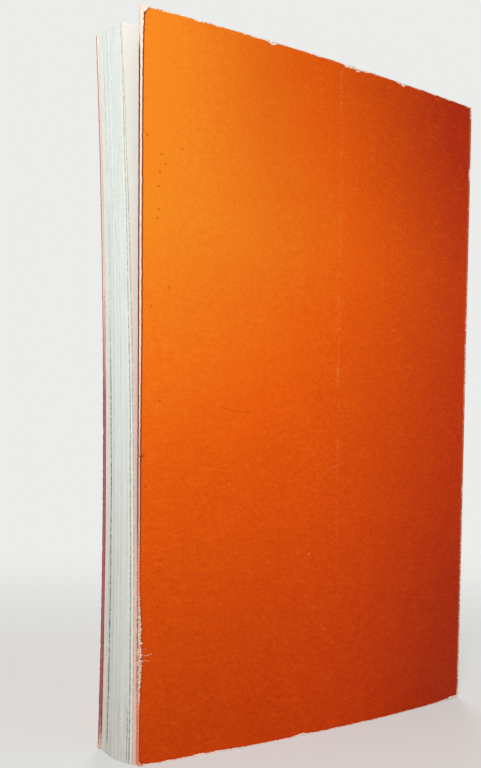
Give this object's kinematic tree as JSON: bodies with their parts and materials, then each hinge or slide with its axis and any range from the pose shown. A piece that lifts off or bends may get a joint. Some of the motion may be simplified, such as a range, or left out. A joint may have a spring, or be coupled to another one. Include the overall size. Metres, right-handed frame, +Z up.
{
  "type": "softcover book",
  "caption": "Worn softcover book standing on its tail, with a page block, a card spine strip and two covers that open on hinges at the folds.",
  "frame": {"origin": "on the tail, the face that the book stands on, under the middle of the page block", "axes": "+Z up from tail to head; +X towards the spine, so the leaves' free edge is at -X; +Y towards the front cover and -Y towards the back cover"},
  "size_m": [0.1412, 0.0262, 0.21],
  "materials": {
    "paper": "matt uncoated leaves, cut edges slightly yellowed",
    "cover_card": "orange printed coated card, satin, rose red inside, rubbed to cream at its edges"
  },
  "bodies": {
    "page_block": {"text_block": "paper", "spine": "cover_card"},
    "back_cover": {"back_cover": "cover_card"},
    "front_cover": {"front_cover": "cover_card"}
  },
  "joints": [
    {"name": "back_cover_hinge", "type": "hinge", "parent": "page_block", "child": "back_cover", "pos_m": [0.06975, -0.00725, 0], "axis": [0, 0, 1], "range_deg": [0, 175]},
    {"name": "front_cover_hinge", "type": "hinge", "parent": "page_block", "child": "front_cover", "pos_m": [0.06975, 0.00725, 0], "axis": [0, 0, -1], "range_deg": [0, 175]}
  ]
}
